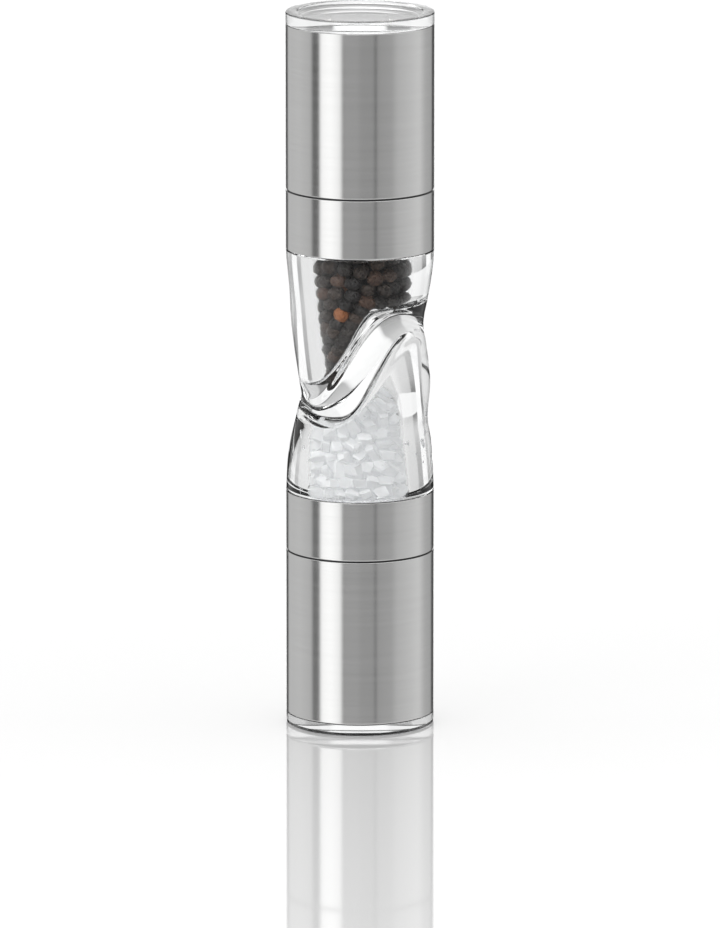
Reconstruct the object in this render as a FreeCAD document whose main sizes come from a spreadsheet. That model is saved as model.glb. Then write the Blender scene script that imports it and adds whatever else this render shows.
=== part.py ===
import FreeCAD, Part
import math
import os
import Sketcher

# Double-ended salt and pepper mill, in millimetres. It stands on the salt end's cap, +Z up,
# with the origin at the middle of the base. The two ends are the same pieces: each is drawn in
# heights measured inward from its own outer face, and the pepper end is turned over on top.

V = FreeCAD.Vector
doc = FreeCAD.newDocument("mill")

# Driving dimensions: one cell each.
SIZES = {
    "outer_diameter": 44.0,
    "body_height": 72.6,
    "joint_gap": 0.2,
    "collar_height": 17.5,
    "seam_gap": 0.5,
    "sleeve_length": 49.0,
    "cap_height": 3.6,
    "steel_wall": 0.8,
    "glue_gap": 0.05,
    "run_gap": 0.3,
    "shaft_gap": 0.08,
    "edge_break": 0.25,
    "cap_edge": 0.7,
    "cap_rim_width": 3.6,
    "cap_dish_depth": 0.5,
    "cap_skirt_length": 5.0,
    "cap_skirt_wall": 1.5,
    "liner_wall": 1.6,
    "liner_inset": 0.4,
    "burr_recess": 12.5,
    "ring_burr_height": 10.8,
    "ring_burr_wall": 2.1,
    "ring_burr_intake": 10.6,
    "ring_teeth": 24,
    "tooth_depth": 1.1,
    "tooth_slant_degrees": 18.0,
    "burr_gap": 0.6,
    "burr_ledge": 1.6,
    "hopper_slope_height": 8.0,
    "retainer_thickness": 1.7,
    "retainer_play": 1.45,
    "retainer_notch": 3.0,
    "retainer_notches": 3,
    "cone_burr_radius": 12.3,
    "cone_burr_skirt": 1.0,
    "cone_burr_height": 15.5,
    "cone_burr_tip": 6.6,
    "cone_teeth": 18,
    "shaft_width": 6.0,
    "shaft_tip_diameter": 5.0,
    "shaft_tip_length": 6.6,
    "shaft_head_radius": 5.0,
    "shaft_head_height": 1.8,
    "shaft_tip_clearance": 0.8,
    "knob_radius": 9.6,
    "knob_height": 6.2,
    "knob_top_wall": 0.8,
    "knob_flutes": 12,
    "knob_flute_radius": 1.6,
    "spring_wire": 1.0,
    "spring_radius": 5.25,
    "spring_turns": 4,
    "spring_length": 7.4,
    "spring_seat_gap": 0.2,
    "spacer_wall": 1.5,
    "spacer_seat_gap": 0.1,
    "clip_thickness": 0.8,
    "clip_radius": 6.5,
    "flange_width": 3.25,
    "journal_wall": 2.1,
    "journal_length": 7.4,
    "journal_flange": 3.0,
    "snap_ring_section": 1.5,
    "snap_ring_bite": 0.7,
    "snap_ring_stand": 1.6,
    "snap_ring_mouth": 5.0,
    "glide_ring_inset": 0.4,
    "glide_ring_play": 0.1,
    "bridge_height": 5.0,
    "bridge_setback": 1.0,
    "bridge_arm_width": 3.0,
    "bridge_arms": 3,
    "hub_radius": 5.6,
    "socket_wall": 2.65,
    "neck_wall": 2.7,
    "neck_length": 10.0,
    "neck_stop_gap": 0.2,
    "seal_section": 1.6,
    "seal_setback": 3.6,
    "seal_proud": 0.15,
    "chamber_end_share": 0.852,
    "chamber_lean_share": 0.0864,
    "web_rise_share": 0.372,
    "web_drop_share": 0.0964,
    "web_lift_share": 0.0503,
    "web_slope_degrees": 60.0,
    "web_bend_share": 0.318,
    "web_lean_share": 0.191,
    "wave_ripple_share": 0.308,
    "wave_lip_share": 1.4,
}


class Length:
    """A size as the sheet's expression and as the number that it stands for."""

    def __init__(self, text, value):
        self.text = text
        self.value = value

    def joined(self, sign, other, value):
        tail = other.text if isinstance(other, Length) else repr(other)
        return Length("(%s %s %s)" % (self.text, sign, tail), value)

    def __add__(self, other):
        return self.joined("+", other, self.value + number(other))

    def __sub__(self, other):
        return self.joined("-", other, self.value - number(other))

    def __mul__(self, other):
        return self.joined("*", other, self.value * number(other))

    def __truediv__(self, other):
        return self.joined("/", other, self.value / number(other))


def number(size):
    return size.value if isinstance(size, Length) else size


sheet = doc.addObject("Spreadsheet::Sheet", "sizes")
for row, (alias, value) in enumerate(SIZES.items(), start=1):
    sheet.set("A%d" % row, alias)
    sheet.set("B%d" % row, str(value))
    sheet.setAlias("B%d" % row, alias)
doc.recompute()


def size(alias):
    return Length("sizes." + alias, float(sheet.get(alias)))


# Radii and stations that several pieces share. Stations are heights from an end's outer face.
outer = size("outer_diameter") / 2
steel_bore = outer - size("steel_wall")
plastic_radius = steel_bore - size("glue_gap")
sleeve_start = size("cap_height")
sleeve_end = sleeve_start + size("sleeve_length")
collar_start = sleeve_end + size("seam_gap")
collar_end = collar_start + size("collar_height")
body_start = collar_end + size("joint_gap")
overall = body_start * 2 + size("body_height")

liner_bore = plastic_radius - size("liner_wall")
liner_start = sleeve_start + size("liner_inset")
liner_end = sleeve_end - size("glue_gap")
retainer_start = size("burr_recess") - size("retainer_thickness")
ring_burr_end = size("burr_recess") + size("ring_burr_height")
ring_burr_mouth = size("cone_burr_radius") + size("burr_gap")
ring_burr_radius = ring_burr_mouth + size("ring_burr_wall")
ring_pocket = ring_burr_radius + size("glue_gap")
ledge_end = ring_burr_end + size("burr_ledge")
slope_end = ledge_end + size("hopper_slope_height")

flange_start = liner_end - size("journal_flange")
flange_bore = plastic_radius - size("flange_width")
journal_radius = flange_bore - size("run_gap")
journal_bore = journal_radius - size("journal_wall")
journal_start = collar_start - size("journal_length")
snap_end = flange_start - size("run_gap")
snap_start = snap_end - size("snap_ring_section")
snap_inner = journal_radius - size("snap_ring_bite")
snap_outer = journal_radius + size("snap_ring_stand")

bridge_start = collar_start + size("bridge_setback")
bridge_end = bridge_start + size("bridge_height")
neck_start = body_start - size("neck_length")
socket_start = neck_start - size("neck_stop_gap")
socket_radius = plastic_radius - size("socket_wall")
neck_radius = socket_radius - size("run_gap")
chamber_mouth = neck_radius - size("neck_wall")

cone_start = size("burr_recess") - size("cone_burr_skirt")
cone_end = cone_start + size("cone_burr_height")
knob_end = cone_start - size("spacer_seat_gap")
knob_start = knob_end - size("knob_height")
spring_start = cone_end + size("spring_seat_gap")
spring_end = spring_start + size("spring_length")
spacer_start = spring_end + size("spring_seat_gap")
clip_end = bridge_start - size("spacer_seat_gap")
clip_start = clip_end - size("clip_thickness")
spacer_end = clip_start - size("spacer_seat_gap")
square_hole = size("shaft_width") + size("shaft_gap") * 2


def pepper_turn():
    """The pepper end: the same pieces turned over about Y and set on top."""
    return FreeCAD.Placement(V(0, 0, overall.value), FreeCAD.Rotation(V(0, 1, 0), 180))


ENDS = {"salt": FreeCAD.Placement(), "pepper": pepper_turn()}


def plane(body, role):
    return next(item for item in body.Origin.OriginFeatures if item.Role == role)


def new_body(name, end):
    body = doc.addObject("PartDesign::Body", end + "_" + name)
    body.Label = end + "_" + name
    body.Placement = ENDS[end]
    if end == "pepper":
        body.setExpression("Placement.Base.z", overall.text)
    return body


def new_sketch(body, name, role, height=None):
    sketch = body.newObject("Sketcher::SketchObject", body.Name + "_" + name)
    sketch.AttachmentSupport = [(plane(body, role), "")]
    sketch.MapMode = "FlatFace"
    if height is not None:
        sketch.AttachmentOffset = FreeCAD.Placement(V(0, 0, height.value), FreeCAD.Rotation())
        sketch.setExpression("AttachmentOffset.Base.z", height.text)
    return sketch


def bind(sketch, constraint, length):
    index = sketch.addConstraint(constraint)
    sketch.setExpression("Constraints[%d]" % index, length.text)


def outline(sketch, corners):
    """A closed run of straight lines whose corners are bound to the sheet; None is the axis."""
    count = len(corners)
    spots = [V(0 if x is None else x.value, 0 if y is None else y.value, 0) for x, y in corners]
    for index in range(count):
        sketch.addGeometry(Part.LineSegment(spots[index], spots[(index + 1) % count]))
    for index in range(count):
        sketch.addConstraint(Sketcher.Constraint("Coincident", index, 2, (index + 1) % count, 1))
    for index, (x, y) in enumerate(corners):
        for length, kind, axis in ((x, "DistanceX", -2), (y, "DistanceY", -1)):
            if length is None:
                sketch.addConstraint(Sketcher.Constraint("PointOnObject", index, 1, axis))
            else:
                bind(sketch, Sketcher.Constraint(kind, -1, 1, index, 1, length.value), length)


def square(sketch, width):
    """A centred square whose side is bound to the sheet."""
    half = width.value / 2
    spots = [V(-half, -half, 0), V(half, -half, 0), V(half, half, 0), V(-half, half, 0)]
    for index in range(4):
        sketch.addGeometry(Part.LineSegment(spots[index], spots[(index + 1) % 4]))
    for index in range(4):
        sketch.addConstraint(Sketcher.Constraint("Coincident", index, 2, (index + 1) % 4, 1))
    for index, kind in enumerate(("Horizontal", "Vertical", "Horizontal", "Vertical")):
        sketch.addConstraint(Sketcher.Constraint(kind, index))
    sketch.addConstraint(Sketcher.Constraint("Symmetric", 0, 1, 1, 2, -1, 1))
    bind(sketch, Sketcher.Constraint("DistanceX", 0, 1, 0, 2, width.value), width)
    bind(sketch, Sketcher.Constraint("DistanceY", 1, 1, 1, 2, width.value), width)


def circle(sketch, radius, reach=None):
    """A circle on the axis, or at a reach along X, bound to the sheet."""
    middle = V(0 if reach is None else reach.value, 0, 0)
    sketch.addGeometry(Part.Circle(middle, V(0, 0, 1), radius.value))
    if reach is None:
        sketch.addConstraint(Sketcher.Constraint("Coincident", 0, 3, -1, 1))
    else:
        sketch.addConstraint(Sketcher.Constraint("PointOnObject", 0, 3, -1))
        bind(sketch, Sketcher.Constraint("DistanceX", -1, 1, 0, 3, reach.value), reach)
    bind(sketch, Sketcher.Constraint("Radius", 0, radius.value), radius)


def turned(name, end, corners):
    """A body turned about Z from its half section, given as radius and height corners."""
    body = new_body(name, end)
    sketch = new_sketch(body, "section", "XZ_Plane")
    outline(sketch, corners)
    turning = body.newObject("PartDesign::Revolution", body.Name + "_turning")
    turning.Profile = sketch
    turning.ReferenceAxis = (sketch, ["V_Axis"])
    turning.Angle = 360
    return body


def pad(body, sketch, length):
    feature = body.newObject("PartDesign::Pad", sketch.Name + "_pad")
    feature.Profile = sketch
    feature.Length = length.value
    feature.setExpression("Length", length.text)
    return feature


def cut_through(body, sketch):
    """A pocket right through the body, both ways from its sketch."""
    feature = body.newObject("PartDesign::Pocket", sketch.Name + "_pocket")
    feature.Profile = sketch
    feature.Type = "ThroughAll"
    feature.Midplane = True
    return feature


def around(body, feature, count):
    pattern = body.newObject("PartDesign::PolarPattern", feature.Name + "_pattern")
    pattern.Originals = [feature]
    pattern.Axis = (plane(body, "Z_Axis"), [""])
    pattern.Angle = 360
    pattern.Occurrences = int(count.value)
    pattern.setExpression("Occurrences", count.text)
    body.Tip = pattern
    return pattern


def solid_feature(name, end, shape):
    feature = doc.addObject("Part::Feature", end + "_" + name)
    feature.Label = end + "_" + name
    feature.Shape = shape
    feature.Placement = ENDS[end]
    return feature


def star(count, crest, root, height, turn):
    """A closed zigzag of teeth between two radii, level at one height."""
    spots = []
    for index in range(2 * count):
        angle = math.pi * index / count + math.radians(turn)
        radius = crest if index % 2 else root
        spots.append(V(radius * math.cos(angle), radius * math.sin(angle), height))
    return Part.makePolygon(spots + spots[:1])


def cap(end):
    """Clear lid: a flat rim round a dished face, and a skirt that plugs into the liner."""
    skirt_outer = liner_bore - size("run_gap")
    skirt_inner = skirt_outer - size("cap_skirt_wall")
    skirt_end = sleeve_start + size("cap_skirt_length")
    dish = outer - size("cap_rim_width")
    return turned("cap", end, [
        (None, size("cap_dish_depth")),
        (dish, size("cap_dish_depth")),
        (dish + size("cap_dish_depth"), None),
        (outer - size("cap_edge"), None),
        (outer, size("cap_edge")),
        (outer, sleeve_start),
        (skirt_outer, sleeve_start),
        (skirt_outer, skirt_end),
        (skirt_inner, skirt_end),
        (skirt_inner, sleeve_start),
        (None, sleeve_start),
    ])


def steel_tube(name, end, start, finish):
    """A thin steel tube with broken outer edges."""
    bevel = size("edge_break")
    return turned(name, end, [
        (steel_bore, start),
        (outer - bevel, start),
        (outer, start + bevel),
        (outer, finish - bevel),
        (outer - bevel, finish),
        (steel_bore, finish),
    ])


def liner(end):
    """Moulded core of the head: cap socket, burr seat, hopper and bearing flange."""
    return turned("liner", end, [
        (liner_bore, liner_start),
        (plastic_radius, liner_start),
        (plastic_radius, liner_end),
        (flange_bore, liner_end),
        (flange_bore, flange_start),
        (liner_bore, flange_start),
        (liner_bore, slope_end),
        (size("ring_burr_intake"), ledge_end),
        (size("ring_burr_intake"), ring_burr_end),
        (ring_pocket, ring_burr_end),
        (ring_pocket, size("burr_recess")),
        (liner_bore, size("burr_recess")),
    ])


def ring_burr(end):
    """Ceramic ring burr: slanted teeth inside a bore that opens towards the outlet."""
    depth = number(size("tooth_depth"))
    count = int(number(size("ring_teeth")))
    low = number(size("burr_recess"))
    high = ring_burr_end.value
    blank = Part.makeCylinder(ring_burr_radius.value, high - low, V(0, 0, low))
    intake = number(size("ring_burr_intake"))
    mouth = ring_burr_mouth.value
    teeth = [
        star(count, mouth, mouth + depth, low, 0),
        star(count, intake, intake + depth, high, number(size("tooth_slant_degrees"))),
    ]
    return solid_feature("ring_burr", end, blank.cut(Part.makeLoft(teeth, True, True)))


def retainer(end):
    """Ring that holds the ring burr down, with notches for a fitting tool."""
    reach = liner_bore - size("retainer_play")
    body = turned("burr_retainer", end, [
        (ring_burr_mouth, retainer_start),
        (reach, retainer_start),
        (reach, size("burr_recess")),
        (ring_burr_mouth, size("burr_recess")),
    ])
    sketch = new_sketch(body, "notch", "XY_Plane", retainer_start)
    circle(sketch, size("retainer_notch") / 2, reach)
    around(body, cut_through(body, sketch), size("retainer_notches"))
    return body


def cone_burr(end):
    """Ceramic cone burr: slanted teeth, wide end outward, square hole for the shaft."""
    depth = number(size("tooth_depth"))
    count = int(number(size("cone_teeth")))
    wide = number(size("cone_burr_radius"))
    tip = number(size("cone_burr_tip"))
    low = cone_start.value
    shoulder = number(size("burr_recess"))
    high = cone_end.value
    skirt = Part.makeLoft([
        star(count, wide, wide - depth, low, 0),
        star(count, wide, wide - depth, shoulder, 0),
    ], True, True)
    taper = Part.makeLoft([
        star(count, wide, wide - depth, shoulder, 0),
        star(count, tip, tip - depth / 2, high, -number(size("tooth_slant_degrees"))),
    ], True, True)
    hole = square_hole.value
    shaft_way = Part.makeBox(hole, hole, high - low, V(-hole / 2, -hole / 2, low))
    return solid_feature("cone_burr", end, skirt.fuse(taper).cut(shaft_way))


def shaft(end):
    """Headed square steel shaft with a round threaded tip for the knob."""
    tip_start = knob_start + size("knob_top_wall") + size("shaft_tip_clearance")
    square_start = tip_start + size("shaft_tip_length")
    head_end = bridge_end + size("shaft_head_height")
    body = new_body("shaft", end)
    tip = new_sketch(body, "tip", "XY_Plane", tip_start)
    circle(tip, size("shaft_tip_diameter") / 2)
    pad(body, tip, size("shaft_tip_length"))
    bar = new_sketch(body, "bar", "XY_Plane", square_start)
    square(bar, size("shaft_width"))
    pad(body, bar, bridge_end - square_start)
    head = new_sketch(body, "head", "XY_Plane", bridge_end)
    circle(head, size("shaft_head_radius"))
    pad(body, head, head_end - bridge_end)
    return body


def knob(end):
    """Fluted knob on the shaft's thread, which sets how fine the mill grinds."""
    bore = size("shaft_tip_diameter") / 2 + size("shaft_gap")
    roof = knob_start + size("knob_top_wall")
    bevel = size("cap_edge")
    body = turned("knob", end, [
        (None, knob_start),
        (size("knob_radius") - bevel, knob_start),
        (size("knob_radius"), knob_start + bevel),
        (size("knob_radius"), knob_end),
        (bore, knob_end),
        (bore, roof),
        (None, roof),
    ])
    sketch = new_sketch(body, "flute", "XY_Plane", knob_start)
    circle(sketch, size("knob_flute_radius"), size("knob_radius") + size("knob_flute_radius") / 2)
    around(body, cut_through(body, sketch), size("knob_flutes"))
    return body


def helix_spot(radius, pitch, start, angle):
    return V(radius * math.cos(angle), radius * math.sin(angle), start + pitch * angle / (2 * math.pi))


def arc_between(first, tangent, last, reach):
    """The arc that leaves first along tangent and ends at last; reach is its tangents' length."""
    half = (last - first).Length / 2
    base = math.acos(min(1.0, half / reach))
    share = math.tan(base / 2) / math.tan(base)
    middle = (first + last) * 0.5
    corner = first + tangent * reach
    return Part.Arc(first, middle + (corner - middle) * share, last).toShape()


def spring(end):
    """Compression spring: one wire in even turns round the shaft, laid as biarcs."""
    wire = number(size("spring_wire"))
    radius = number(size("spring_radius"))
    turns = int(number(size("spring_turns")))
    start = spring_start.value + wire / 2
    pitch = (number(size("spring_length")) - wire) / turns
    slope = pitch / (2 * math.pi * radius)
    edges = []
    for step in range(4 * turns):
        angles = (step * math.pi / 2, (step + 1) * math.pi / 2)
        first, last = [helix_spot(radius, pitch, start, angle) for angle in angles]
        leave, arrive = [V(-math.sin(a), math.cos(a), slope).normalize() for a in angles]
        chord = last - first
        pull = chord.dot(leave + arrive)
        spread = 2 * (1 - leave.dot(arrive))
        reach = (-pull + math.sqrt(pull * pull + spread * chord.dot(chord))) / spread
        joint = (first + last + (leave - arrive) * reach) * 0.5
        across = (joint - first - leave * reach).normalize()
        edges.append(arc_between(first, leave, joint, reach))
        edges.append(arc_between(joint, across, last, reach))
    path = Part.Wire(edges)
    section = Part.Wire(Part.Circle(V(radius, 0, start), V(0, 1, slope), wire / 2).toShape())
    tube = path.makePipeShell([section], True, False)
    print(end, "spring: least gap between turns %.2f mm" % turn_gap(radius, pitch, turns, wire))
    return solid_feature("spring", end, tube)


def turn_gap(radius, pitch, turns, wire):
    """Least gap between points of the wire that are over half a turn apart."""
    per_turn = 48
    spots = [helix_spot(radius, pitch, 0, 2 * math.pi * i / per_turn) for i in range(per_turn * turns + 1)]
    pairs = ((a, b) for i, a in enumerate(spots) for b in spots[i + per_turn // 2:])
    return min(a.distanceToPoint(b) for a, b in pairs) - wire


def spacer(end):
    """Plastic tube on the shaft that holds the spring off the bridge."""
    corner = size("shaft_width") * math.sqrt(0.5) + size("shaft_gap") * 2
    reach = corner + size("spacer_wall")
    return turned("spacer", end, [
        (corner, spacer_start),
        (reach, spacer_start),
        (reach, spacer_end),
        (corner, spacer_end),
    ])


def shaft_clip(end):
    """Spring-steel push-on washer that locks the shaft to the bridge."""
    body = new_body("shaft_clip", end)
    disc = new_sketch(body, "disc", "XY_Plane", clip_start)
    circle(disc, size("clip_radius"))
    pad(body, disc, size("clip_thickness"))
    hole = new_sketch(body, "hole", "XY_Plane", clip_start)
    square(hole, square_hole)
    cut_through(body, hole)
    return body


def snap_ring(end):
    """Split ring in the journal's groove, which keeps the head on as it turns."""
    body = turned("snap_ring", end, [
        (snap_inner, snap_start),
        (snap_outer, snap_start),
        (snap_outer, snap_end),
        (snap_inner, snap_end),
    ])
    sketch = new_sketch(body, "mouth", "XY_Plane", snap_start)
    half = size("snap_ring_mouth") / 2
    circle(sketch, half, journal_radius)
    cut_through(body, sketch)
    return body


def glide_ring(end):
    """Black slip ring that fills the seam between the sleeve and the collar."""
    start = sleeve_end + size("glide_ring_play")
    return turned("glide_ring", end, [
        (flange_bore, start),
        (outer - size("glide_ring_inset"), start),
        (outer - size("glide_ring_inset"), collar_start),
        (flange_bore, collar_start),
    ])


def carrier(end):
    """Moulded insert of the collar: socket for the neck, bridge for the shaft, journal."""
    groove = snap_inner - size("glue_gap")
    play = size("glue_gap")
    body = turned("carrier", end, [
        (journal_bore, journal_start),
        (journal_radius, journal_start),
        (journal_radius, snap_start - play),
        (groove, snap_start - play),
        (groove, snap_end + play),
        (journal_radius, snap_end + play),
        (journal_radius, collar_start),
        (plastic_radius, collar_start),
        (plastic_radius, collar_end - play),
        (socket_radius, collar_end - play),
        (socket_radius, socket_start),
        (journal_bore, socket_start),
    ])
    arm = new_sketch(body, "arm", "XY_Plane", bridge_start)
    half = size("bridge_arm_width") / 2
    reach = journal_bore + size("journal_wall") / 2
    spots = [(0, -half.value), (reach.value, -half.value), (reach.value, half.value), (0, half.value)]
    for index in range(4):
        ends = [V(*spots[index], 0), V(*spots[(index + 1) % 4], 0)]
        arm.addGeometry(Part.LineSegment(*ends))
    for index in range(4):
        arm.addConstraint(Sketcher.Constraint("Coincident", index, 2, (index + 1) % 4, 1))
    for index, kind in enumerate(("Horizontal", "Vertical", "Horizontal")):
        arm.addConstraint(Sketcher.Constraint(kind, index))
    arm.addConstraint(Sketcher.Constraint("Symmetric", 0, 1, 2, 2, -1))
    arm.addConstraint(Sketcher.Constraint("PointOnObject", 0, 1, -2))
    bind(arm, Sketcher.Constraint("DistanceX", 0, 1, 0, 2, reach.value), reach)
    width = size("bridge_arm_width")
    bind(arm, Sketcher.Constraint("DistanceY", 1, 1, 1, 2, width.value), width)
    around(body, pad(body, arm, size("bridge_height")), size("bridge_arms"))
    hub = new_sketch(body, "hub", "XY_Plane", bridge_start)
    circle(hub, size("hub_radius"))
    pad(body, hub, size("bridge_height"))
    way = new_sketch(body, "way", "XY_Plane", bridge_start)
    square(way, square_hole)
    cut_through(body, way)
    return body


def seal(end):
    """Silicone ring in the neck's groove, which grips the collar's socket."""
    section = number(size("seal_section")) / 2
    reach = neck_radius.value + number(size("seal_proud")) - section
    height = neck_start.value + number(size("seal_setback"))
    return solid_feature("seal", end, Part.makeTorus(reach, section, V(0, 0, height)))


# The clear body. Its skin is a loft through rings that carry a wave round the waist: each ring
# has a height from the middle, how far the wave lifts it on the right and drops it on the left,
# its turn, its radius on the right and on the left, and how far it draws in at front and back.
WAVE_RINGS = (
    (-36.3, 0.0, 0, 22.0, 22.0, 0.0),
    (-31.0, 0.0, 0, 21.8, 21.8, 0.0),
    (-24.0, 2.0, 0, 21.2, 21.4, 0.0),
    (-17.2, 2.8, -6, 20.2, 20.4, 0.0),
    (-9.4, 5.6, -12, 20.9, 19.2, 0.0),
    (-1.9, 9.6, -16, 19.7, 18.4, 0.2),
    (2.0, 10.0, -3, 18.9, 17.5, 1.0),
    (5.6, 10.4, 11, 19.1, 17.9, 0.2),
    (12.6, 7.8, 8, 20.0, 19.4, 0.0),
    (20.0, 5.0, 4, 20.8, 20.6, 0.0),
    (26.5, 2.5, 0, 21.4, 21.0, 0.0),
    (33.0, 0.0, 0, 21.85, 21.85, 0.0),
    (36.3, 0.0, 0, 22.0, 22.0, 0.0),
)
RING_SPOTS = 20
DRAWN_HALF = WAVE_RINGS[-1][0]
DRAWN_RADIUS = WAVE_RINGS[-1][3]


def wave_ring(ring):
    """One ring of the skin, scaled from the drawn body to the body's height and radius."""
    lift_from, swing, turn, right, left, draw = ring
    ripple = number(size("wave_ripple_share"))
    tall = number(size("body_height")) / 2 / DRAWN_HALF
    wide = outer.value / DRAWN_RADIUS
    spots = []
    for index in range(RING_SPOTS):
        angle = 2 * math.pi * index / RING_SPOTS
        phase = angle + math.radians(turn) * math.cos(angle)
        wave = (math.sin(phase) + ripple * math.sin(3 * phase)) / (1 - ripple)
        radius = (right + left) / 2 + (right - left) / 2 * math.sin(angle)
        radius -= draw * number(size("wave_lip_share")) * math.cos(angle) ** 2
        height = lift_from * tall + swing * wave * wide
        spots.append(V(radius * wide * math.sin(angle), -radius * wide * math.cos(angle), height))
    curve = Part.BSplineCurve()
    curve.interpolate(Points=spots, PeriodicFlag=True)
    return Part.Wire(curve.toShape())


def chamber(way):
    """A chamber from its mouth below up to the S-shaped web, which lies over the middle; way is 1 for
    the salt chamber, and -1 for the pepper chamber as drawn before it is turned over."""
    mouth = chamber_mouth.value
    tall = number(size("body_height"))
    depth = tall / 2 + number(size("neck_length"))
    drop = tall * number(size("web_drop_share"))
    rise = tall * number(size("web_rise_share"))
    lift = tall * number(size("web_lift_share")) * way
    high = lift + rise / 2 - drop / 2
    low = lift - rise / 2 - drop / 2
    tilt = math.radians(number(size("web_slope_degrees")))
    run = rise / math.tan(tilt)
    lean = outer.value * number(size("web_lean_share"))
    cut_back = outer.value * number(size("web_bend_share")) * math.tan(tilt / 2)
    slant = V(math.cos(tilt), 0, math.sin(tilt))
    level = V(1, 0, 0)
    side = outer.value
    lower = V(lean - run / 2, 0, low)
    upper = V(lean + run / 2, 0, high)
    edges = [Part.LineSegment(V(-side, 0, low), lower - level * cut_back).toShape()]
    edges.append(arc_between(lower - level * cut_back, level, lower + slant * cut_back, cut_back))
    edges.append(Part.LineSegment(lower + slant * cut_back, upper - slant * cut_back).toShape())
    edges.append(arc_between(upper - slant * cut_back, slant, upper + level * cut_back, cut_back))
    edges.append(Part.LineSegment(upper + level * cut_back, V(side, 0, high)).toShape())
    corners = [V(side, 0, high), V(side, 0, -depth), V(-side, 0, -depth), V(-side, 0, low)]
    edges += [Part.LineSegment(*pair).toShape() for pair in zip(corners, corners[1:])]
    slab = Part.Face(Part.Wire(edges)).extrude(V(0, 2 * side, 0))
    slab.translate(V(0, -side, 0))
    along = (depth + high) / (depth + high - lift)
    end_radius = mouth * (1 - (1 - number(size("chamber_end_share"))) * along)
    drift = -outer.value * number(size("chamber_lean_share")) * along
    rings = [
        Part.Wire(Part.makeCircle(mouth, V(0, 0, -depth))),
        Part.Wire(Part.makeCircle(end_radius, V(drift, 0, high))),
    ]
    return Part.makeLoft(rings, True, True).common(slab)


def turned_over(shape):
    """The shape's twin at the other end of the body."""
    twin = shape.copy()
    twin.rotate(V(0, 0, 0), V(0, 1, 0), 180)
    return twin


def clear_body():
    """Clear acrylic body: waved skin, two chambers either side of a slanting web, two necks."""
    half = number(size("body_height")) / 2
    neck = neck_radius.value
    length = number(size("neck_length"))
    section = number(size("seal_section"))
    play = number(size("glue_gap"))
    reach = neck + number(size("seal_proud")) - section - play
    skin = Part.makeLoft([wave_ring(ring) for ring in WAVE_RINGS], True, False)
    stem = Part.makeCylinder(neck, length, V(0, 0, -half - length))
    groove_low = -half - length + number(size("seal_setback")) - section / 2 - play
    groove = Part.makeCylinder(neck + section, section + 2 * play, V(0, 0, groove_low))
    groove = groove.cut(Part.makeCylinder(reach, section + 2 * play, V(0, 0, groove_low)))
    shape = skin.fuse(stem).fuse(turned_over(stem))
    for tool in (chamber(1), turned_over(chamber(-1)), groove, turned_over(groove)):
        shape = shape.cut(tool)
    feature = doc.addObject("Part::Feature", "clear_body")
    feature.Label = "clear_body"
    feature.Shape = shape.Solids[0]
    feature.Placement = FreeCAD.Placement(V(0, 0, overall.value / 2), FreeCAD.Rotation())
    return feature


pieces = [clear_body()]
for end in ENDS:
    pieces += [
        seal(end),
        steel_tube("collar_ring", end, collar_start, collar_end),
        carrier(end),
        glide_ring(end),
        shaft(end),
        shaft_clip(end),
        spacer(end),
        spring(end),
        snap_ring(end),
        steel_tube("sleeve", end, sleeve_start, sleeve_end),
        liner(end),
        ring_burr(end),
        retainer(end),
        cone_burr(end),
        knob(end),
        cap(end),
    ]
doc.recompute()

for item in doc.Objects:
    if "Invalid" in item.State or "Error" in item.State:
        raise RuntimeError("%s failed: %s" % (item.Name, item.State))
for piece in pieces:
    if piece.Shape.isNull() or not piece.Shape.isValid():
        raise RuntimeError("%s has no valid shape" % piece.Label)

os.makedirs("parts", exist_ok=True)
for piece in pieces:
    piece.Shape.exportStep("parts/%s.step" % piece.Label)
    print(piece.Label, len(piece.Shape.Solids), "solid", round(piece.Shape.Volume, 1))
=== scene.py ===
import math
import random

import bmesh
import bpy
import numpy as np
from mathutils import Matrix, Vector, noise


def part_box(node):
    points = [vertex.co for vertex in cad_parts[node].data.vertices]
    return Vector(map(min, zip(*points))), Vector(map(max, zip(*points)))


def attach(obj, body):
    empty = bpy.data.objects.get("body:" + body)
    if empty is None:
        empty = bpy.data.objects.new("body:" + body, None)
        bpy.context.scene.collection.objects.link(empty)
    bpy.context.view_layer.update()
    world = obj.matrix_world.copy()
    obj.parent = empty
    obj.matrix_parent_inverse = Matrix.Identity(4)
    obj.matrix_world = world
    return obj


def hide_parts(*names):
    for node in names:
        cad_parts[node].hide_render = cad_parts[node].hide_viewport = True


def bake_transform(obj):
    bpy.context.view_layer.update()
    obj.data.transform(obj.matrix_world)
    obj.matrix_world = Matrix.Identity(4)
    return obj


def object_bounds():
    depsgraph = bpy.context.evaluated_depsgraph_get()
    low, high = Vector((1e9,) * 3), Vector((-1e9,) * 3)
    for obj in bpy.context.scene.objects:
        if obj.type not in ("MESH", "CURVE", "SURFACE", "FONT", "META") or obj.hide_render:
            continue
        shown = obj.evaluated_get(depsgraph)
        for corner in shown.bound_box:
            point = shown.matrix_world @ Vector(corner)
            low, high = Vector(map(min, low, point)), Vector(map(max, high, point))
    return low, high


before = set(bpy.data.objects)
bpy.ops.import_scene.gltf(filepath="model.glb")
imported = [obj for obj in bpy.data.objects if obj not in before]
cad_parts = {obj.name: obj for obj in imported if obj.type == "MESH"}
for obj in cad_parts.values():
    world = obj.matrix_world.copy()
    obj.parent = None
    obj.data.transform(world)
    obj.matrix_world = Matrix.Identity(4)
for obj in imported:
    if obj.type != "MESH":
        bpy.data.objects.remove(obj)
cad_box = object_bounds()


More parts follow.
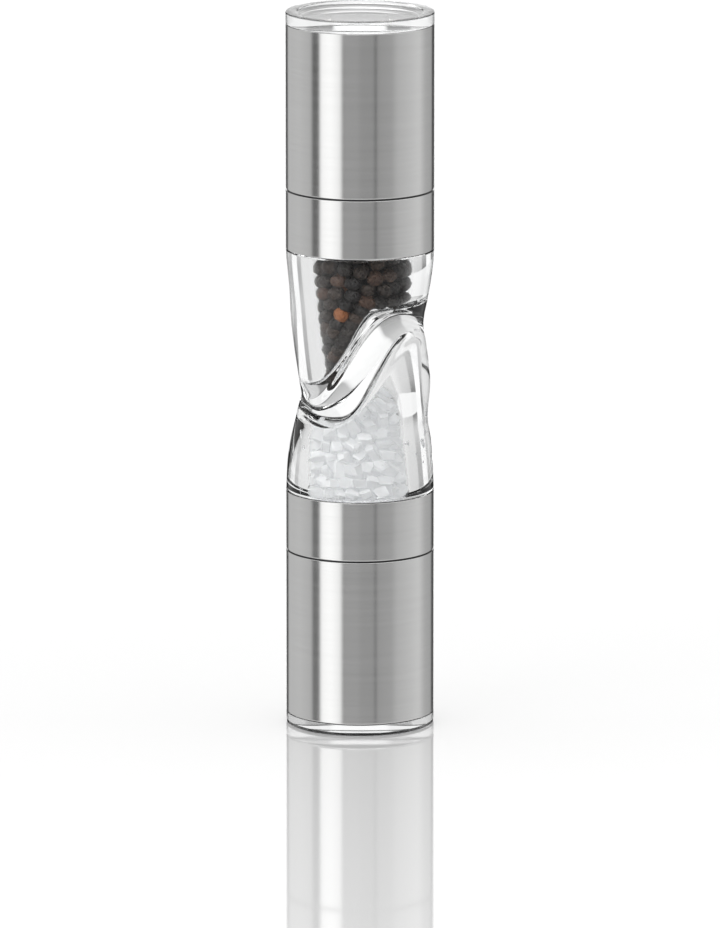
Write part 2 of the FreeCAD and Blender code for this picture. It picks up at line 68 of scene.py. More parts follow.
# The clear body: one thick piece of cast and polished acrylic. A waved groove runs round its waist,
# and two chambers meet either side of a slanting clear web. A collar is pushed on the neck at each end.
class Shade:
    """A socket in a material or world. Sums on it add Math nodes, and node() adds any other node."""

    def __init__(self, tree, socket=None):
        self.tree = tree
        self.socket = socket

    def node(self, kind, sockets, settings=None, out=0):
        """Adds a node, with its sockets set or linked, and gives the output that is named."""
        made = self.tree.nodes.new("ShaderNode" + kind)
        for name, value in (settings or {}).items():
            if name == "stops":
                for stop in list(made.color_ramp.elements)[1:]:
                    made.color_ramp.elements.remove(stop)
                made.color_ramp.elements[0].position = value[0][0]
                made.color_ramp.elements[0].color = value[0][1]
                for place, colour in value[1:]:
                    made.color_ramp.elements.new(place).color = colour
            else:
                setattr(made, name, value)
        for name, value in sockets.items():
            if isinstance(value, Shade):
                self.tree.links.new(value.socket, made.inputs[name])
            else:
                made.inputs[name].default_value = value
        return Shade(self.tree, made.outputs[out])

    def sum(self, operation, first, second):
        """A Math node on two values."""
        return self.node("Math", {0: first, 1: second}, {"operation": operation})

    def __add__(self, other):
        return self.sum("ADD", self, other)

    def __radd__(self, other):
        return self.sum("ADD", other, self)

    def __sub__(self, other):
        return self.sum("SUBTRACT", self, other)

    def __rsub__(self, other):
        return self.sum("SUBTRACT", other, self)

    def __mul__(self, other):
        return self.sum("MULTIPLY", self, other)

    def __rmul__(self, other):
        return self.sum("MULTIPLY", other, self)

    def __truediv__(self, other):
        return self.sum("DIVIDE", self, other)

    def __rtruediv__(self, other):
        return self.sum("DIVIDE", other, self)

    def place(self, stretch=(1, 1, 1)):
        """The object's own coordinates in metres, stretched along each axis."""
        here = self.node("TexCoord", {}, out="Object")
        return self.node("Mapping", {"Vector": here, "Scale": stretch})

    def cloud(self, scale, detail=2.0, stretch=(1, 1, 1)):
        """Noise from 0 to 1, with scale lumps a metre."""
        return self.node("TexNoise", {"Vector": self.place(stretch), "Scale": scale, "Detail": detail})

    def tint(self, share, first, second):
        """A colour between two others."""
        sockets = {"Factor": share, "A": first, "B": second}
        return self.node("Mix", sockets, {"data_type": "RGBA"}, out=2)

    def relief(self, height, depth, strength=1.0):
        """A bumped normal; depth is in metres."""
        return self.node("Bump", {"Height": height, "Distance": depth, "Strength": strength})

    def ranged(self, start, finish, low=0.0, high=1.0):
        """The value carried from start and finish to low and high, and held beyond them."""
        span = {"From Min": start, "From Max": finish, "To Min": low, "To Max": high}
        return self.node("MapRange", {"Value": self, **span})

    def grey(self):
        """The value as a grey colour."""
        return self.node("CombineColor", {0: self, 1: self, 2: self})


def finish_named(name):
    """A material with one shader, and a Shade to add its nodes with."""
    made = bpy.data.materials.new(name)
    made.use_nodes = True
    return made, Shade(made.node_tree)


def set_surface(made, sockets):
    """Sets or links the sockets of the material's shader."""
    surface = made.node_tree.nodes["Principled BSDF"]
    for name, value in sockets.items():
        if isinstance(value, Shade):
            made.node_tree.links.new(value.socket, surface.inputs[name])
        else:
            surface.inputs[name].default_value = value


MM = 0.001
BODY_MIDDLE = (cad_box[0][2] + cad_box[1][2]) / 2
BODY_RADIUS = 22.0 * MM
BODY_HALF = 36.3 * MM
NECK_RADIUS = 18.2 * MM
NECK_LENGTH = 10.0 * MM
SEAL_GROOVE_RADIUS = 16.7 * MM
SEAL_GROOVE_HALF = 0.85 * MM
SEAL_SETBACK = 3.6 * MM
MOUTH_RADIUS = 15.5 * MM
CHAMBER_END_RADIUS = 13.2 * MM
CHAMBER_END_SHIFT = 1.9 * MM
CHAMBER_FILLET = 3.0 * MM
WEB_RISE = 27.0 * MM
WEB_RUN = 12.5 * MM
WEB_DROP = 7.0 * MM
WEB_LIFT = {"salt": -3.65 * MM, "pepper": 3.65 * MM}
WEB_LEAN = -4.2 * MM
WEB_SOFTNESS = 0.4
RIPPLE = 0.308
LIP_DRAW = 1.8
BODY_EDGE = 0.35 * MM
SIDES = 144

# Each ring of the skin in millimetres: height from the middle, swing of the wave, turn in degrees,
# and radius on the right and on the left.
WAVE_RINGS = (
    (-36.3, 0.0, 0, 22.0, 22.0),
    (-31.0, 0.0, 0, 21.8, 21.8),
    (-24.0, 2.0, 0, 21.2, 21.4),
    (-17.2, 2.8, -6, 20.2, 20.4),
    (-9.4, 5.6, -12, 20.9, 19.2),
    (-1.9, 9.6, -16, 19.7, 18.4),
    (2.0, 10.0, -3, 18.9, 17.5),
    (5.6, 10.4, 11, 19.1, 17.9),
    (12.6, 7.8, 8, 20.0, 19.4),
    (20.0, 5.0, 4, 20.8, 20.6),
    (26.5, 2.5, 0, 21.4, 21.0),
    (33.0, 0.0, 0, 21.85, 21.85),
    (36.3, 0.0, 0, 22.0, 22.0),
)
RINGS_BETWEEN = 14

# Where the groove's lower lip turns in and its upper lip comes out, counted in rings of the table.
LIPS = ((4.8, 5.1), (6.8, 7.25))
ANGLES = np.arange(SIDES) * 2 * math.pi / SIDES


def ring_at(radius, height, shift=0.0):
    """Points round one ring; radius and height may change with the angle."""
    radius = np.broadcast_to(radius, (SIDES,))
    height = np.broadcast_to(height, (SIDES,))
    return np.stack([shift + radius * np.sin(ANGLES), -radius * np.cos(ANGLES), height], axis=1)


def between(values, spot):
    """A smooth run through values, read at a spot counted in steps from the first."""
    step = min(int(spot), len(values) - 2)
    share = spot - step
    near, far = values[step], values[step + 1]
    back = values[step - 1] if step else 2 * near - far
    ahead = values[step + 2] if step + 2 < len(values) else 2 * far - near
    bend = 2 * back - 5 * near + 4 * far - ahead
    twist = 3 * near - back - 3 * far + ahead
    return near + share / 2 * (far - back + share * (bend + share * twist))


def eased(spot, start, finish):
    """0 up to start, 1 from finish, and a smooth step between them."""
    share = min(max((spot - start) / (finish - start), 0), 1)
    return share * share * (3 - 2 * share)


def skin_rings():
    """The waved skin; the groove that the web shows in has a crisp lip along each side."""
    table = np.array(WAVE_RINGS)
    rings = []
    for count in range((len(table) - 1) * RINGS_BETWEEN + 1):
        spot = count / RINGS_BETWEEN
        height, swing, turn, right, left = between(table, spot)
        draw = eased(spot, *LIPS[0]) - eased(spot, *LIPS[1])
        phase = ANGLES + math.radians(turn) * np.cos(ANGLES)
        wave = (np.sin(phase) + RIPPLE * np.sin(3 * phase)) / (1 - RIPPLE)
        radius = (right + left) / 2 + (right - left) / 2 * np.sin(ANGLES)
        radius = radius - draw * LIP_DRAW * np.cos(ANGLES) ** 2
        rings.append(ring_at(radius * MM, BODY_MIDDLE + (height + swing * wave) * MM))
    return rings


def web_height(x, end):
    """A rising S: how far the pepper floor, or the salt roof turned over, is above the middle."""
    across = (x - WEB_LEAN) / (WEB_RUN / 2)
    near = np.sqrt((across + 1) ** 2 + WEB_SOFTNESS ** 2)
    far = np.sqrt((across - 1) ** 2 + WEB_SOFTNESS ** 2)
    return WEB_LIFT[end] + WEB_DROP / 2 + WEB_RISE / 4 * (near - far)


MOUTH_HEIGHT = BODY_HALF + NECK_LENGTH
CHAMBER_DEPTH = MOUTH_HEIGHT + WEB_RISE / 2 - WEB_DROP / 2
WALL_RINGS = 25
FILLET_RINGS = 9
FLOOR_RINGS = 20
FLOOR_HOLE_SHARE = 0.02
FOOT_TRIES = 4


def wall_radius(height):
    """Radius of a chamber's wall, which narrows from its mouth to its end."""
    return MOUTH_RADIUS + (CHAMBER_END_RADIUS - MOUTH_RADIUS) * (MOUTH_HEIGHT - height) / CHAMBER_DEPTH


def wall_shift(height):
    """How far a chamber's axis has moved to the side, as it leans towards its end."""
    return CHAMBER_END_SHIFT * (MOUTH_HEIGHT - height) / CHAMBER_DEPTH


def chamber_rings(end):
    """A chamber from its mouth down its wall, round the fillet and in over the web, mouth upwards."""
    foot = web_height(MOUTH_RADIUS * np.sin(ANGLES), end) + CHAMBER_FILLET
    for _ in range(FOOT_TRIES):
        foot = web_height(wall_shift(foot) + wall_radius(foot) * np.sin(ANGLES), end) + CHAMBER_FILLET
    rings = []
    for share in np.linspace(0, 1, WALL_RINGS):
        height = MOUTH_HEIGHT + (foot - MOUTH_HEIGHT) * share
        rings.append(ring_at(wall_radius(height), BODY_MIDDLE + height, wall_shift(height)))
    inner = wall_radius(foot) - CHAMBER_FILLET
    shift = wall_shift(foot)
    for turn in np.linspace(0, math.pi / 2, FILLET_RINGS)[1:]:
        radius = inner + CHAMBER_FILLET * math.cos(turn)
        floor = web_height(shift + radius * np.sin(ANGLES), end)
        height = floor + CHAMBER_FILLET * (1 - math.sin(turn))
        rings.append(ring_at(radius, BODY_MIDDLE + height, shift))
    for share in np.linspace(1, FLOOR_HOLE_SHARE, FLOOR_RINGS)[1:]:
        middle = shift * share + CHAMBER_END_SHIFT * (1 - share)
        height = web_height(middle + inner * share * np.sin(ANGLES), end)
        rings.append(ring_at(inner * share, BODY_MIDDLE + height, middle))
    return rings


def turned_over(ring):
    """The same ring at the other end of the body, in the same order round it."""
    twin = ring * np.array([-1, 1, -1]) + np.array([0, 0, 2 * BODY_MIDDLE])
    return np.roll(twin[::-1], 1, axis=0)


def body_rings():
    """Rings of the clear body, from the salt roof out, over the skin and in to the pepper floor."""
    top = BODY_MIDDLE + BODY_HALF
    lip = top + NECK_LENGTH
    groove_low = lip - SEAL_SETBACK - SEAL_GROOVE_HALF
    groove_high = lip - SEAL_SETBACK + SEAL_GROOVE_HALF
    neck = [
        ring_at(BODY_RADIUS - BODY_EDGE, top),
        ring_at(NECK_RADIUS, top),
        ring_at(NECK_RADIUS, top + BODY_EDGE),
        ring_at(NECK_RADIUS, groove_low),
        ring_at(SEAL_GROOVE_RADIUS, groove_low),
        ring_at(SEAL_GROOVE_RADIUS, groove_high),
        ring_at(NECK_RADIUS, groove_high),
        ring_at(NECK_RADIUS, lip - BODY_EDGE),
        ring_at(NECK_RADIUS - BODY_EDGE, lip),
        ring_at(MOUTH_RADIUS + BODY_EDGE, lip),
    ]
    pepper = neck + chamber_rings("pepper")
    salt = [turned_over(ring) for ring in reversed(neck + chamber_rings("salt"))]
    skin = skin_rings()
    skin[0] = ring_at(BODY_RADIUS, BODY_MIDDLE - BODY_HALF + BODY_EDGE)
    skin[-1] = ring_at(BODY_RADIUS, top - BODY_EDGE)
    return salt + skin + pepper


scene = bpy.context.scene


def closed(name, shell, crease=40):
    """An object made of a finished bmesh, smooth but for edges over crease degrees."""
    bmesh.ops.recalc_face_normals(shell, faces=shell.faces)
    mesh = bpy.data.meshes.new(name)
    shell.to_mesh(mesh)
    shell.free()
    mesh.polygons.foreach_set("use_smooth", [True] * len(mesh.polygons))
    mesh.set_sharp_from_angle(angle=math.radians(crease))
    piece = bpy.data.objects.new(name, mesh)
    scene.collection.objects.link(piece)
    return piece


def lofted(name, rings):
    """A closed mesh drawn ring by ring: each ring is extruded from the last and set in place."""
    shell = bmesh.new()
    side = shell.verts.layers.int.new("side")
    bmesh.ops.create_circle(shell, segments=SIDES, radius=1)
    shell.verts.ensure_lookup_table()
    for index, vertex in enumerate(shell.verts):
        vertex[side] = index
        vertex.co = rings[0][index]
    loop = list(shell.edges)
    bmesh.ops.contextual_create(shell, geom=loop)
    for ring in rings[1:]:
        grown = bmesh.ops.extrude_edge_only(shell, edges=loop)["geom"]
        loop = [item for item in grown if isinstance(item, bmesh.types.BMEdge)]
        for vertex in (item for item in grown if isinstance(item, bmesh.types.BMVert)):
            vertex.co = ring[vertex[side]]
    bmesh.ops.contextual_create(shell, geom=loop)
    return closed(name, shell)


# The tint holds the front reflections down, so that the chambers' contents show through.
acrylic, shade = finish_named("clear_acrylic")
set_surface(acrylic, {
    "Base Color": (0.985, 0.99, 0.99, 1),
    "Roughness": 0.008 + shade.cloud(90, 3) * 0.012,
    "IOR": 1.49,
    "Specular Tint": (0.35, 0.35, 0.35, 1),
    "Transmission Weight": 1.0,
    "Normal": shade.relief(shade.cloud(55, 1), 0.00004, 0.6),
})

clear_body = lofted("clear_body_polished", body_rings())
clear_body.data.materials.append(acrylic)
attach(clear_body, "body")
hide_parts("clear_body")


# Peppercorns: dried berries with a wrinkled skin, nearly black, a few of them red-brown.
# They are poured into the upper chamber and lie on its slanting floor.
random.seed(7)
CORN_RADIUS = 2.42 * MM
CORN_COUNT = 265
CORN_FILL = MOUTH_HEIGHT - 2.0 * MM
CORN_FALL = -0.22 * MM
POUR_REACH = 12
POUR_STEPS = 420
CALM_FROM = 340
CALM_SHARE = 0.2
PUSH_SHARE = 0.45
PUSH_EASE = 0.8
WALL_GAP = 0.1 * MM
TINY = 1e-9
CORN_SEED = 11
CORN_SPREAD = (0.93, 1.03)
CORN_SIZES = ((0.94, 1.05), (0.94, 1.05), (0.9, 1.0))
PLAIN_TONE = 0.86
SKIN_STEP = 3.7
WRINKLE_SCALE = 1.9
WRINKLE_DEPTH = 0.07
WRINKLE_SWELL = 0.05
TURN_AXES = ((1, 0, 0), (0, 1, 0), (1, 1, 1))
FRONT_LAYER = -7 * MM
DEPTH_WEIGHT = 2

# Roughness, step from octave to octave, octaves, offset and gain.
WRINKLE_FRACTAL = (0.8, 2.1, 3, 1.0, 2.0)


def settled(end, radius, low, high, count, seed, fall):
    """Centres of balls dropped into a chamber, mouth upwards, and pushed apart until they lie close."""
    draw = np.random.default_rng(seed)
    spots = np.stack([
        draw.uniform(-POUR_REACH, POUR_REACH, count) * MM,
        draw.uniform(-POUR_REACH, POUR_REACH, count) * MM,
        draw.uniform(low, high, count),
    ], axis=1)
    for step in range(POUR_STEPS):
        spots[:, 2] += fall * (1 if step < CALM_FROM else CALM_SHARE)
        gap = spots[:, None, :] - spots[None, :, :]
        reach = np.sqrt((gap ** 2).sum(axis=2)) + TINY
        np.fill_diagonal(reach, 1)
        push = np.clip(2 * radius - reach, 0, None) / reach * PUSH_SHARE
        spots += (gap * push[:, :, None]).sum(axis=1) * PUSH_EASE
        spots[:, 2] = np.minimum(spots[:, 2], high)
        slope = (web_height(spots[:, 0] + MM, end) - web_height(spots[:, 0] - MM, end)) / (2 * MM)
        floor = web_height(spots[:, 0], end) + radius * np.sqrt(1 + slope ** 2)
        low_by = np.clip(floor - spots[:, 2], 0, None)
        spots[:, 2] += low_by / (1 + slope ** 2)
        spots[:, 0] -= low_by * slope / (1 + slope ** 2)
        off = spots[:, :2] - np.stack([wall_shift(spots[:, 2]), np.zeros(count)], axis=1)
        far = np.sqrt((off ** 2).sum(axis=1))
        room = wall_radius(spots[:, 2]) - radius - WALL_GAP
        back = np.clip(far - room, 0, None) / np.maximum(far, TINY)
        spots[:, :2] -= off * back[:, None]
    return spots


def wrinkled(shell, centre, radius, seed):
    """One corn: a ball with a puckered skin, turned its own way."""
    angle = random.uniform(0, math.tau)
    turn = Matrix.Rotation(angle, 4, Vector(random.choice(TURN_AXES)))
    made = bmesh.ops.create_icosphere(shell, subdivisions=2, radius=1)["verts"]
    shape = Vector([random.uniform(*limits) for limits in CORN_SIZES])
    for vertex in made:
        way = vertex.co.normalized()
        spot = way * WRINKLE_SCALE + Vector((seed, 0, 0))
        pucker = noise.ridged_multi_fractal(spot, *WRINKLE_FRACTAL)
        out = turn @ (way * shape)
        vertex.co = Vector(centre) + out * radius * (1 + WRINKLE_SWELL - WRINKLE_DEPTH * pucker)
    return made


def front_corn(spots, x, height):
    """Index of the corn against the front wall that is nearest to a place across and up."""
    off = np.hypot(spots[:, 0] - x * MM, spots[:, 2] - height * MM)
    return int(np.argmin(off + np.clip(spots[:, 1] - FRONT_LAYER, 0, None) * DEPTH_WEIGHT))


# Across and up from the body's middle in millimetres, and how red the corn there is.
RIPE_CORNS = (
    (-5.4, 18.9, 1.0),
    (-1.5, 26.5, 0.95),
    (-6.8, 28.5, 0.93),
    (-10.9, 25.5, 0.92),
    (2.1, 30.5, 0.90),
    (2.4, 22.5, 0.92),
)

heap = bmesh.new()
tone = heap.verts.layers.float.new("corn_tone")
spots = settled("pepper", CORN_RADIUS, 0.0, CORN_FILL, CORN_COUNT, CORN_SEED, CORN_FALL)
ripe_tones = {front_corn(spots, x, height): ripe for x, height, ripe in RIPE_CORNS}
for count, spot in enumerate(spots):
    plain = random.random() * PLAIN_TONE
    centre = spot + np.array([0, 0, BODY_MIDDLE])
    radius = CORN_RADIUS * random.uniform(*CORN_SPREAD)
    for vertex in wrinkled(heap, centre, radius, count * SKIN_STEP):
        vertex[tone] = ripe_tones.get(count, plain)
peppercorns = closed("peppercorns", heap, crease=80)

pepper_skin, shade = finish_named("pepper_skin")
berry = shade.node("Attribute", {}, {"attribute_name": "corn_tone"}, out="Fac")
cells = {"Vector": shade.place(), "Scale": 900.0}
creases = shade.node("TexVoronoi", cells, {"feature": "DISTANCE_TO_EDGE"})
mottle = shade.cloud(700, 4)
stops = [
    (0.0, (0.006, 0.005, 0.005, 1)),
    (0.45, (0.013, 0.010, 0.008, 1)),
    (0.80, (0.032, 0.019, 0.012, 1)),
    (0.93, (0.075, 0.038, 0.023, 1)),
    (1.0, (0.32, 0.105, 0.028, 1)),
]
base = shade.node("ValToRGB", {"Fac": berry}, {"stops": stops})
dusty = shade.tint(mottle * 0.16, base, (0.07, 0.058, 0.05, 1))
set_surface(pepper_skin, {
    "Base Color": dusty,
    "Roughness": 0.38 + mottle * 0.25,
    "Specular IOR Level": 0.3,
    "Normal": shade.relief(creases + mottle * 0.6, 0.0006, 0.7),
})
peppercorns.data.materials.append(pepper_skin)
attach(peppercorns, "body")


# Rock salt: broken, half-clear crystals in the lower chamber, with chalky edges.
# They lie loose on the bridge below and reach up under the slanting roof.
CRYSTAL_RADIUS = 2.7 * MM
CRYSTAL_COUNT = 430
CRYSTAL_SEED = 23
CRYSTAL_FALL = 0.2 * MM
CRYSTAL_SPACING = CRYSTAL_RADIUS * 0.86
CRYSTAL_SIZES = ((1.0, 1.9), (0.8, 1.4), (0.7, 1.2))
CORNER_CUT = (0.1, 0.22)
CORNER_STRAY = 0.13
SALT_TOP = 4.0 * MM
SALT_BED = MOUTH_HEIGHT - 3.5 * MM


def crystal(shell, centre, radius):
    """One crystal: a block with its corners broken off at odd angles."""
    made = bmesh.ops.create_cube(shell, size=1)["verts"]
    size = Vector([random.uniform(*limits) for limits in CRYSTAL_SIZES]) * radius
    tip, roll = (Matrix.Rotation(random.uniform(0, math.tau), 4, axis) for axis in "XZ")
    turn = tip @ roll
    edges = list(dict.fromkeys(edge for vertex in made for edge in vertex.link_edges))
    bevel = bmesh.ops.bevel(
        shell, geom=edges + made, offset=random.uniform(*CORNER_CUT), offset_type="OFFSET",
        affect="EDGES", segments=1, profile=0.5, material=-1,
    )
    for vertex in dict.fromkeys(corner for face in bevel["faces"] for corner in face.verts):
        broken = vertex.co + noise.random_unit_vector() * CORNER_STRAY
        vertex.co = Vector(centre) + turn @ (broken * size)


noise.seed_set(5)
pile = bmesh.new()
spots = settled(
    "salt", CRYSTAL_SPACING, -SALT_TOP, SALT_BED, CRYSTAL_COUNT, CRYSTAL_SEED, CRYSTAL_FALL,
)
for spot in spots:
    crystal(pile, np.array([-spot[0], spot[1], BODY_MIDDLE - spot[2]]), CRYSTAL_RADIUS)
salt_crystals = closed("salt_crystals", pile, crease=20)

rock_salt, shade = finish_named("rock_salt")
frost = shade.cloud(420, 4)
set_surface(rock_salt, {
    "Base Color": shade.tint(frost, (0.70, 0.705, 0.705, 1), (0.60, 0.605, 0.61, 1)),
    "Roughness": 0.18 + frost * 0.3,
    "IOR": 1.5,
    "Transmission Weight": 0.2,
    # Painted light: the crystals glow faintly white, which lifts their shade and flattens their
    # contrast.
    "Emission Color": (0.97, 0.98, 1.0, 1),
    "Emission Strength": 0.2,
    "Normal": shade.relief(shade.cloud(900, 3), 0.0002, 0.5),
})
salt_crystals.data.materials.append(rock_salt)
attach(salt_crystals, "body")


# Seals: soft silicone rings in the grooves of the two necks.
# They are stretched over the neck and grip the collar when it is pushed on.
silicone, shade = finish_named("silicone")
set_surface(silicone, {
    "Base Color": (0.72, 0.72, 0.70, 1),
    "Roughness": 0.42 + shade.cloud(600) * 0.12,
    "Normal": shade.relief(shade.cloud(1500), 0.00002),
})


def dress(node, finish):
    """Gives a CAD piece its finish."""
    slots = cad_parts[node].data.materials
    slots.clear()
    slots.append(finish)


ENDS = ("salt", "pepper")
for end in ENDS:
    dress(end + "_seal", silicone)


# Carriers, liners, spacers, retainers, knobs and glide rings: black moulded plastic.
# They are pressed into the steel or snapped together, and have the fine spark texture of the mould.
black_plastic, shade = finish_named("black_plastic")
spark = shade.cloud(2600, 2)
set_surface(black_plastic, {
    "Base Color": shade.tint(spark, (0.018, 0.018, 0.019, 1), (0.032, 0.032, 0.034, 1)),
    "Roughness": 0.42 + spark * 0.18,
    "Normal": shade.relief(spark, 0.00004),
})
for end in ENDS:
    for node in ("carrier", "liner", "spacer", "burr_retainer", "knob", "glide_ring"):
        dress(end + "_" + node, black_plastic)


# Shafts, clips, snap rings and springs: bright drawn and rolled steel.
# The shaft is squared along its length, and the clip is pushed on over it. Each spring is coiled
# round its spacer.
WELD = 1e-6

bright_steel, shade = finish_named("bright_steel")
drawn = shade.cloud(900, 3, (6, 6, 0.15))
set_surface(bright_steel, {
    "Base Color": shade.tint(drawn, (0.60, 0.60, 0.60, 1), (0.72, 0.72, 0.72, 1)),
    "Metallic": 1.0,
    "Roughness": 0.2 + drawn * 0.15,
})
for end in ENDS:
    for node in ("shaft", "shaft_clip", "snap_ring"):
        dress(end + "_" + node, bright_steel)
for end, cone_side, spacer_side in (("salt", 0, 1), ("pepper", 1, 0)):
    coil = bmesh.new()
    coil.from_mesh(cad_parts[end + "_spring"].data)
    bmesh.ops.remove_doubles(coil, verts=coil.verts, dist=WELD)
    spring = closed(end + "_spring_coil", coil)
    spring.data.materials.append(bright_steel)
    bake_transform(spring)
    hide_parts(end + "_spring")


# Burrs: a ring and a cone of white ceramic, pressed, fired and ground, with slanting teeth.
# The ring turns with the head; the square shaft keeps the cone from turning.
ceramic, shade = finish_named("white_ceramic")
grain = shade.cloud(1800, 3)
set_surface(ceramic, {
    "Base Color": shade.tint(grain, (0.80, 0.78, 0.73, 1), (0.88, 0.86, 0.82, 1)),
    "Roughness": 0.38 + grain * 0.2,
    "Normal": shade.relief(grain, 0.00003),
})
for end in ENDS:
    for node in ("ring_burr", "cone_burr"):
        dress(end + "_" + node, ceramic)


# Sleeves and collar rings: thin stainless steel tube, brushed round and round on a lathe.
# The sleeve is glued over the liner and turns as the grip; the short ring is fixed to the carrier.
STEEL_WALL = 0.8 * MM
STEEL_EDGE = 0.22 * MM
STEEL_GUARD = 0.5 * MM
SPIN_STEPS = 180
EASED_FROM = math.radians(35)


def spun(name, outline, edge, segments=3):
    """A closed ring spun about the axis from its outline of radius and height, with its edges eased."""
    shell = bmesh.new()
    verts = [shell.verts.new((radius, 0, height)) for radius, height in outline]
    loop = [shell.edges.new(pair) for pair in zip(verts, verts[1:] + verts[:1])]
    bmesh.ops.spin(
        shell, geom=verts + loop, cent=(0, 0, 0), axis=(0, 0, 1), angle=math.tau,
        steps=SPIN_STEPS, use_merge=True, use_duplicate=False,
    )
    bmesh.ops.remove_doubles(shell, verts=shell.verts, dist=WELD)
    bmesh.ops.recalc_face_normals(shell, faces=shell.faces)
    sharp = [item for item in shell.edges if item.calc_face_angle(0) > EASED_FROM]
    bmesh.ops.bevel(
        shell, geom=sharp, offset=edge, offset_type="OFFSET", affect="EDGES",
        segments=segments, profile=0.5, material=-1, clamp_overlap=True,
    )
    return closed(name, shell)


brushed_steel, shade = finish_named("brushed_steel")
fine = shade.cloud(1.0, 2, (55, 55, 4200))
broad = shade.cloud(1.0, 3, (18, 18, 700))
grooves = fine * 0.6 + broad * 0.4
set_surface(brushed_steel, {
    "Base Color": shade.tint(grooves, (0.62, 0.62, 0.615, 1), (0.71, 0.71, 0.705, 1)),
    "Metallic": 1.0,
    "Roughness": 0.19 + broad * 0.06,
    "Anisotropic": 0.85,
    "Anisotropic Rotation": 0.25,
    "Normal": shade.relief(fine, 0.000006, 0.4),
})
for end in ENDS:
    for node, body in (("sleeve", "head"), ("collar_ring", "collar")):
        low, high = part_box(end + "_" + node)
        inner = high.x - STEEL_WALL
        tube = spun(end + "_" + node + "_brushed", [
            (inner, low.z), (high.x, low.z), (high.x, low.z + STEEL_GUARD),
            (high.x, high.z - STEEL_GUARD), (high.x, high.z), (inner, high.z),
        ], STEEL_EDGE)
        tube.data.materials.append(brushed_steel)
        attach(tube, end + "_" + body)
        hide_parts(end + "_" + node)


# Caps: clear moulded lids with a flat rim round a dished face. A skirt plugs into the liner,
# so that the mill can stand on either end without spilling ground spice.
CAP_RIM = 3.6 * MM
CAP_DISH = 0.5 * MM
CAP_FLANGE = 3.6 * MM
SKIRT_WALL = 1.5 * MM
SKIRT_RADIUS = 19.25 * MM
CAP_EDGE = 0.6 * MM


def cap_outline(face, inward):
    """Half section of a cap from its outer face, with inward the way to the mill's middle."""
    low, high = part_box("salt_cap")
    rim = high.x
    depth = high.z - low.z
    run = [
        (0.0, CAP_DISH), (rim - CAP_RIM, CAP_DISH), (rim - CAP_RIM + CAP_DISH, 0.0), (rim, 0.0),
        (rim, CAP_FLANGE), (SKIRT_RADIUS, CAP_FLANGE), (SKIRT_RADIUS, depth),
        (SKIRT_RADIUS - SKIRT_WALL, depth), (SKIRT_RADIUS - SKIRT_WALL, CAP_FLANGE), (0.0, CAP_FLANGE),
    ]
    return [(radius, face + inward * height) for radius, height in run]


for end, corner, inward in (("salt", 0, 1), ("pepper", 1, -1)):
    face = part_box(end + "_cap")[corner].z
    cap = spun(end + "_cap_clear", cap_outline(face, inward), CAP_EDGE)
    cap.data.materials.append(acrylic)
    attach(cap, end + "_lid")
    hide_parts(end + "_cap")


# The stage: a pale polished floor with a painted glow, a white studio with soft light and dark panels
# round it, and a camera fitted to the seams as the photograph shows them.
FLOOR_HALF = 6
FLOOR_DROP = 0.2 * MM

floor_mesh = bmesh.new()
bmesh.ops.create_grid(floor_mesh, x_segments=1, y_segments=1, size=FLOOR_HALF)
floor = closed("floor", floor_mesh)
floor.location.z = -FLOOR_DROP
floor.visible_glossy = False
pale, shade = finish_named("pale_floor_with_painted_glow")
depth = shade.node("SeparateXYZ", {"Vector": shade.place()}, out="Y")
set_surface(pale, {
    "Base Color": (0.55, 0.55, 0.55, 1),
    "Roughness": 0.05,
    "Specular IOR Level": 1.0,
    "Coat Weight": 0.6,
    "Coat Roughness": 0.05,
    # Painted light: the floor glows, most at the front and less under and behind the mill. This lifts
    # the shadow round the mill's foot and lightens the mill's reflection towards the front.
    "Emission Color": depth.ranged(start=-0.45, finish=0.0, low=0.34, high=0.20).grey(),
    "Emission Strength": 1.0,
})
floor.data.materials.append(pale)

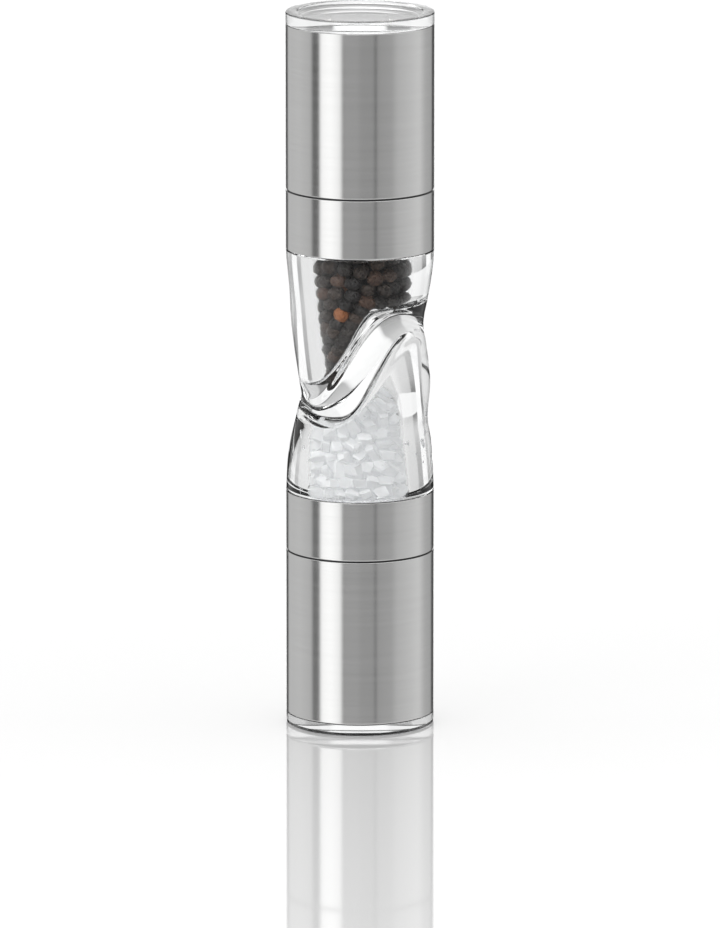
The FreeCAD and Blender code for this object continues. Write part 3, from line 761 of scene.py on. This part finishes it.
# How bright the studio is all round at the mill's height, by degrees to the right of its front.
PANELS = (
    (-180, 1.1), (-168, 1.1), (-166, 0.05), (-152, 0.05), (-149, 0.62), (-110, 0.70), (-82, 0.60),
    (-78, 0.10), (-67, 0.10), (-64, 1.42), (-46, 1.50), (-31, 1.25), (-26, 0.22), (-22, 0.40),
    (-4, 0.40), (2, 0.34), (21, 0.34), (23, 0.12), (25.5, 0.12), (27, 0.38), (50, 0.44), (60, 0.60),
    (105, 0.82), (122, 0.56), (146, 0.46), (150, 0.05), (166, 0.05), (168, 1.1), (180, 1.1),
)
ABOVE = (1.5, 1.5, 1.5, 1)
WHITE = (1, 1, 1, 1)
KEY_WAY = (-0.35, -0.5, 0.79)
KEY_LEVEL = 4.0
THROUGH_SHARE = 0.9

studio = bpy.data.worlds.new("studio")
scene.world = studio
studio.use_nodes = True
sky = studio.node_tree
shade = Shade(sky)
way = shade.node("TexCoord", {}, out="Generated")
east, north, up = (shade.node("SeparateXYZ", {"Vector": way}, out=axis) for axis in "XYZ")
round_share = shade.sum("ARCTAN2", east, 0 - north) / math.tau + 0.5
ring_stops = [((angle + 180) / 360, (level, level, level, 1)) for angle, level in PANELS]
panels = shade.node("ValToRGB", {"Fac": round_share}, {"stops": ring_stops})
below = up.ranged(start=-0.25, finish=-0.5, low=0.07, high=0.9)
overhead = up.ranged(start=0.45, finish=0.8)
light = shade.tint(overhead, shade.sum("MAXIMUM", panels, below), ABOVE)

# Light that comes through the clear pieces: a bright wall behind the mill, and the key light.
behind = north.ranged(start=-0.1, finish=0.25, low=0.15, high=1.0)
upright = up.ranged(start=0.3, finish=0.6, low=1.0, high=0.1)
facing = east * KEY_WAY[0] + north * KEY_WAY[1] + up * KEY_WAY[2]
raised = behind * upright + facing.ranged(start=0.35, finish=0.95, high=KEY_LEVEL)
through = shade.node("LightPath", {}, out="Is Transmission Ray")
seen = shade.node("LightPath", {}, out="Is Camera Ray")
clear_light = shade.tint(through * THROUGH_SHARE, light, raised.grey())
shown = shade.tint(seen, clear_light, WHITE)
background = sky.nodes["Background"]
sky.links.new(shown.socket, background.inputs["Color"])

LENS = 365.35
SENSOR = 36
CAMERA_BACK = 2.741
CAMERA_HEIGHT = 0.6432
CAMERA_PITCH = 11.65

camera_data = bpy.data.cameras.new("camera")
camera_data.sensor_fit = "VERTICAL"
camera_data.sensor_height = SENSOR
camera_data.lens = LENS
camera = bpy.data.objects.new("camera", camera_data)
camera.location = (0, -CAMERA_BACK, CAMERA_HEIGHT)
camera.rotation_euler = (math.radians(90 - CAMERA_PITCH), 0, 0)
scene.collection.objects.link(camera)
scene.camera = camera
scene.view_settings.view_transform = "Standard"
